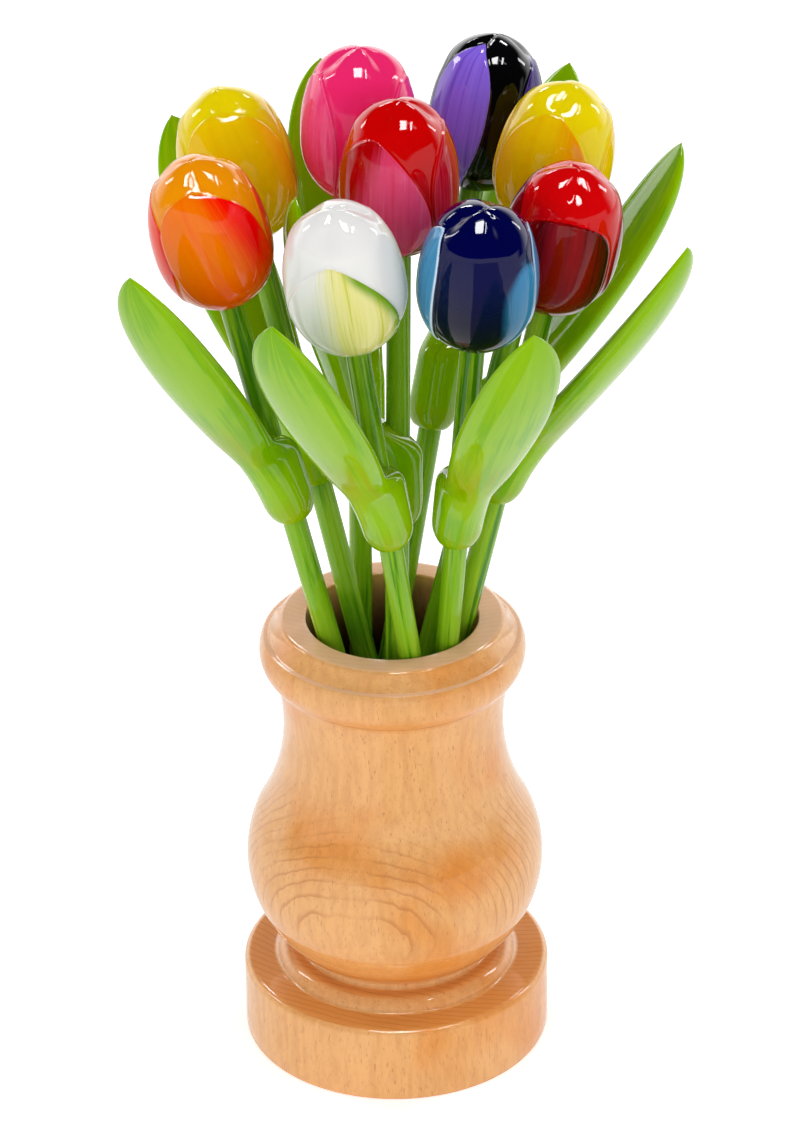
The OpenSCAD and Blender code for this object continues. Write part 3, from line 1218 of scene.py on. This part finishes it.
@dataclass
class Studio:
    """The camera, the surroundings, the floor and the lamps, in metres and degrees."""

    elevation: float = 29.35
    distance: float = 1.6781
    target: tuple[float, float, float] = (0.00282, 0.0, 0.17985)
    roll: float = -0.64
    lens: float = 225.0
    floor_size: float = 6.0
    backdrop: float = 2.1
    wall: float = 0.9
    window: float = 26.0
    window_back: float = 0.17
    window_deep: float = 0.2
    box_half: float = 0.17
    strip_at: float = 0.38
    strip_half: float = 0.04
    wedge: float = 0.32
    floor_white: float = 0.2
    floor_glow: float = 0.27
    dark: float = 0.02
    fill: float = 0.42
    front_fill: float = 1.3

    def camera(self) -> None:
        """Sets the camera at the photograph's viewing angle."""
        data = bpy.data.cameras.new("camera")
        data.sensor_fit = "HORIZONTAL"
        data.sensor_width = 36.0
        data.lens = self.lens
        data.clip_start, data.clip_end = 0.01, 100.0
        item = bpy.data.objects.new("camera", data)
        bpy.context.scene.collection.objects.link(item)
        e = math.radians(self.elevation)
        back = Vector((0.0, -math.cos(e), math.sin(e)))
        turn = (-back).to_track_quat("-Z", "Y").to_matrix().to_4x4()
        place = Matrix.Translation(Vector(self.target) + back * self.distance)
        item.matrix_world = place @ turn @ Matrix.Rotation(math.radians(self.roll), 4, "Z")
        bpy.context.scene.camera = item

    def world(self) -> None:
        """White to the camera, a soft fill for the paint, and shapes of light for the gloss.

        The gloss shows a pale backdrop, a low wall in front and the windows overhead.
        """
        world = bpy.data.worlds.new("surroundings")
        bpy.context.scene.world = world
        world.use_nodes = True
        n = Nodes(world.node_tree)
        background = world.node_tree.nodes["Background"]
        path = n.add("ShaderNodeLightPath")
        way = n.add("ShaderNodeSeparateXYZ")
        n.link(n.add("ShaderNodeTexCoord").outputs["Generated"], way.inputs[0])
        seen = n.most(path.outputs["Is Camera Ray"], path.outputs["Is Transmission Ray"])
        wide = n.plain(way.outputs[0])
        behind = n.span(n.math("MULTIPLY_ADD", wide, 0.25, way.outputs[1]), 0.28, 0.7)
        back = n.times(n.times(behind, n.span(way.outputs[2], 0.56, 0.3)), self.backdrop)
        wall = n.times(n.span(way.outputs[2], 0.16, 0.12), n.span(way.outputs[1], 0.0, -0.2))
        glow = n.most(back, n.times(wall, self.wall))
        both = n.plus(n.plus(glow, self.windows(n, way)), self.dark)
        shine = n.times(path.outputs["Is Glossy Ray"], both)
        ahead = n.times(n.span(way.outputs[1], 0.2, -0.7), n.span(way.outputs[2], 0.85, 0.2))
        fill = n.math("MULTIPLY_ADD", ahead, self.front_fill, self.fill)
        soft = n.times(n.minus(1.0, path.outputs["Is Glossy Ray"]), fill)
        n.link(n.most(seen, n.plus(shine, soft)), background.inputs["Strength"])
        background.inputs["Color"].default_value = (1.0, 1.0, 1.0, 1.0)

    def windows(self, n: Nodes, way: Node) -> Socket:
        """The bright faces of the overhead boxes, as the gloss shows them.

        Args:
            n: The world's wiring helper.
            way: The node with the direction's parts.

        Returns:
            Their brightness.
        """
        up = n.most(way.outputs[2], 0.05)
        side = n.over(way.outputs[0], up)
        ahead = n.plain(n.plus(n.over(way.outputs[1], up), self.window_back))
        deep = n.span(ahead, self.window_deep, self.window_deep - 0.01)
        box = n.span(n.plain(side), self.box_half, self.box_half - 0.01)
        strip = n.span(n.plain(n.minus(side, self.strip_at)), self.strip_half, self.strip_half - 0.005)
        return n.times(n.times(n.most(box, strip), deep), self.window)

    def floor(self) -> None:
        """A plain white floor that keeps a soft shadow, with a dark wedge that only the gloss shows."""
        s = self.floor_size / 2.0
        corners = np.array([[-s, -s, 0.0], [s, -s, 0.0], [s, s, 0.0], [-s, s, 0.0]])
        piece = new_object("floor", corners, [(0, 1, 2, 3)])
        material, n = new_material("white_floor")
        shader = material.node_tree.nodes["Principled BSDF"]
        shader.inputs["Roughness"].default_value = 0.9
        shader.inputs["Specular IOR Level"].default_value = 0.1
        shader.inputs["Emission Color"].default_value = (1.0, 1.0, 1.0, 1.0)
        path = n.add("ShaderNodeLightPath")
        glow = n.math("MULTIPLY_ADD", path.outputs["Is Camera Ray"], self.floor_white, self.floor_glow)
        n.link(glow, shader.inputs["Emission Strength"])
        place = n.add("ShaderNodeSeparateXYZ")
        n.link(n.stretched(1.0, 1.0, 1.0), place.inputs[0])
        forward = n.most(n.times(place.outputs[1], -1.0), 0.02)
        beside = n.plain(n.minus(n.over(place.outputs[0], forward), self.wedge))
        wedge = n.times(n.span(beside, 0.52, 0.48), n.span(place.outputs[1], 0.0, -0.1))
        white, black = (0.9, 0.9, 0.9, 1.0), (0.04, 0.04, 0.04, 1.0)
        tone = n.mix(n.times(wedge, path.outputs["Is Glossy Ray"]), white, black)
        n.link(tone, shader.inputs["Base Color"])
        piece.data.materials.append(material)

    def build(self) -> None:
        """Builds the whole studio."""
        self.camera()
        self.world()
        self.floor()
        for box in SOFT_BOXES:
            box.build()


@dataclass(frozen=True)
class Plan:
    """How one tulip is carved and painted."""

    paint: PetalPaint
    petals: tuple[Petal, ...]
    leaf_facing: float
    leaf_up: float
    leaf_upright: float = 0.0


ORANGE = Plan(
    PetalPaint(
        body=srgb(236, 144, 4), ground=srgb(238, 116, 0),
        light=srgb(240, 100, 0), dark=srgb(240, 88, 0),
        side=srgb(232, 44, 12), front_edge_shade=srgb(214, 2, 0),
        outline=Outline(srgb(246, 130, 20), 0.4, 0.4),
        body_low=srgb(238, 110, 0), ground_low=srgb(242, 72, 0),
        shade=Shade(srgb(246, 2, 0), start=0.02, end=0.7, upwards=0.3, ragged=0.7),
    ),
    (Petal(-77, 56, top=0.9, lean=-38, blunt=3.4), Petal(168, 62), Petal(46, 62)), -122, 197,
)
YELLOW_LEFT = Plan(
    PetalPaint(
        body=srgb(231, 208, 4), ground=srgb(232, 196, 0),
        light=srgb(234, 204, 6), dark=srgb(229, 184, 0),
        side=srgb(230, 200, 50), front_edge_shade=srgb(112, 108, 0),
        outline=Outline(srgb(232, 204, 40), 0.4, 0.3),
        ground_low=srgb(238, 192, 0), shade=Shade(srgb(246, 184, 0), start=0.25, end=0.95),
    ),
    (Petal(-78, 57, top=0.9, lean=-30, blunt=3.4), Petal(166, 60), Petal(44, 60)), 120, 196,
)
PINK = Plan(
    PetalPaint(
        body=srgb(238, 40, 110), ground=srgb(240, 66, 124),
        light=srgb(244, 108, 156), dark=srgb(238, 22, 86),
        side=srgb(238, 50, 124), front_edge_shade=srgb(228, 10, 84),
        outline=Outline(srgb(250, 128, 160), 0.4, 0.5),
        body_low=srgb(230, 0, 66), ground_low=srgb(242, 4, 74),
    ),
    (Petal(-160, 47, widest=0.42), Petal(-14, 46, top=0.83), Petal(98, 50)), 108, 197,
)
WHITE = Plan(
    PetalPaint(
        body=srgb(232, 231, 229), ground=srgb(228, 222, 140),
        light=srgb(236, 230, 180), dark=srgb(196, 200, 56),
        side=srgb(230, 230, 226), front_edge_shade=srgb(228, 228, 214),
        outline=Outline(srgb(112, 158, 0), 5.5, 1.0, right_only=True),
        shade=Shade(srgb(232, 231, 228), Side.LEFT, start=-0.12, end=0.3, ragged=0.7), dark_share=0.9,
    ),
    (
        Petal(-100, 74, top=0.79, widest=0.15, blunt=1.5),
        Petal(32, 56, soft=4.0), Petal(150, 56, soft=4.0),
    ), -120, 197,
)
CENTRE_RED = Plan(
    PetalPaint(
        body=srgb(200, 0, 0), ground=srgb(224, 66, 112),
        light=srgb(234, 112, 150), dark=srgb(210, 24, 66),
        side=srgb(176, 0, 4), front_edge_shade=srgb(140, 0, 0),
        outline=Outline(srgb(236, 90, 110), 0.4, 0.5),
        body_low=srgb(132, 0, 0),
        shade=Shade(srgb(170, 0, 4), Side.LEFT, start=-0.2, end=0.3, upwards=1.1, ragged=0.7),
        strokes=Wave.BROAD,
    ),
    (Petal(-125, 68, top=0.83, widest=0.3, blunt=1.6), Petal(0, 54), Petal(118, 54)), 204, 188, 6.0,
)
PURPLE = Plan(
    PetalPaint(
        body=srgb(4, 3, 5), ground=srgb(134, 100, 228),
        light=srgb(152, 124, 236), dark=srgb(102, 68, 190),
        side=srgb(44, 24, 96), front_edge_shade=srgb(20, 10, 44),
        outline=Outline(srgb(140, 118, 220), 0.4, 0.6),
        dark_share=0.8,
    ),
    (
        Petal(-128, 36, top=0.95, widest=0.6, low=0.02, blunt=2.4),
        Petal(-10, 48, top=0.9), Petal(112, 40),
    ), 49, 205,
)
BLUE = Plan(
    PetalPaint(
        body=srgb(0, 2, 66), ground=srgb(52, 136, 184),
        light=srgb(84, 158, 202), dark=srgb(20, 104, 160),
        side=srgb(40, 122, 172), front_edge_shade=srgb(30, 110, 160),
        outline=Outline(srgb(214, 232, 246), 0.9, 0.95),
        body_low=srgb(0, 0, 18),
    ),
    (
        Petal(-170, 31, top=0.88, blunt=3.0), Petal(10, 33, top=0.86, blunt=3.0),
        Petal(-36, 26, top=0.74, soft=9.0), Petal(104, 34),
    ), -68, 195,
)
DARK_RED = Plan(
    PetalPaint(
        body=srgb(208, 2, 6), ground=srgb(134, 2, 6), light=srgb(160, 14, 18), dark=srgb(84, 0, 2),
        side=srgb(124, 0, 12), front_edge_shade=srgb(90, 0, 8), outline=Outline(srgb(70, 0, 0), 0.5, 0.25),
        body_low=srgb(150, 0, 6), ground_low=srgb(110, 0, 4),
        shade=Shade(srgb(44, 0, 0), start=0.35, end=1.0, upwards=0.3),
        strokes=Wave.BROAD, light_share=0.7, dark_share=0.8,
    ),
    (
        Petal(-95, 53, top=0.79, widest=0.5, blunt=4.0),
        Petal(152, 60, top=0.88), Petal(26, 58, top=0.84),
    ), -32, 201,
)
YELLOW_RIGHT = Plan(
    PetalPaint(
        body=srgb(231, 209, 4), ground=srgb(233, 194, 0),
        light=srgb(235, 202, 6), dark=srgb(230, 180, 0),
        side=srgb(233, 194, 0), front_edge_shade=srgb(230, 172, 0),
        outline=Outline(srgb(238, 200, 40), 0.4, 0.4),
        body_low=srgb(232, 190, 0), ground_low=srgb(232, 184, 0),
        shade=Shade(srgb(230, 144, 0), start=0.15, end=0.9, upwards=0.6),
    ),
    (Petal(-112, 53, top=0.86, widest=0.42), Petal(8, 52, top=0.86), Petal(128, 52)), 15, 197,
)
PLANS: dict[str, Plan] = {
    "orange": ORANGE, "yellow_left": YELLOW_LEFT, "pink": PINK, "white": WHITE,
    "centre_red": CENTRE_RED, "purple": PURPLE, "blue": BLUE, "dark_red": DARK_RED,
    "yellow_right": YELLOW_RIGHT,
}


@dataclass
class Tulip:
    """One tulip: its stem, leaf and bloom."""

    name: str
    plan: Plan
    stem_paint: Material
    leaf_paint: Material

    def build(self) -> list[Piece]:
        """Builds the tulip's three pieces.

        Returns:
            The pieces.
        """
        stand, plan = Stand(self.name), self.plan
        lean = Leaf.lean - plan.leaf_upright
        return [
            Stem(stand, self.stem_paint).build(),
            Leaf(stand, self.leaf_paint, plan.leaf_up, plan.leaf_facing, lean=lean).build(),
            Bloom(stand, plan.paint, list(plan.petals)).build(),
        ]


def main() -> None:
    """Builds the studio, the vase and the tulips."""
    logging.basicConfig(level=logging.INFO, format="%(name)s: %(message)s")
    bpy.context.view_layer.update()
    bpy.context.scene.view_settings.view_transform = "Standard"
    GROUPS.update(brush=brush_group(), lacquer=lacquer_group())
    Studio().build()
    stem_paint = GreenPaint(
        base=srgb(112, 166, 4), light=srgb(158, 196, 36),
        dark=srgb(44, 116, 0), thin=srgb(166, 196, 60),
        grain_x=2.4, grain_z=0.015, streak=0.9,
    ).material("stem_green")
    leaf_paint = GreenPaint(
        base=srgb(136, 184, 0), light=srgb(150, 192, 22),
        dark=srgb(112, 170, 0), thin=srgb(142, 160, 0),
        grain_x=3.0, grain_z=0.02, streak=0.5,
    ).material("leaf_green")
    pieces = [Vase().build()]
    for name, plan in PLANS.items():
        pieces.extend(Tulip(name, plan, stem_paint, leaf_paint).build())
    for piece in pieces:
        LOG.info("%s: %d faces", piece.name, len(piece.data.polygons))


if __name__ == "__main__":
    main()
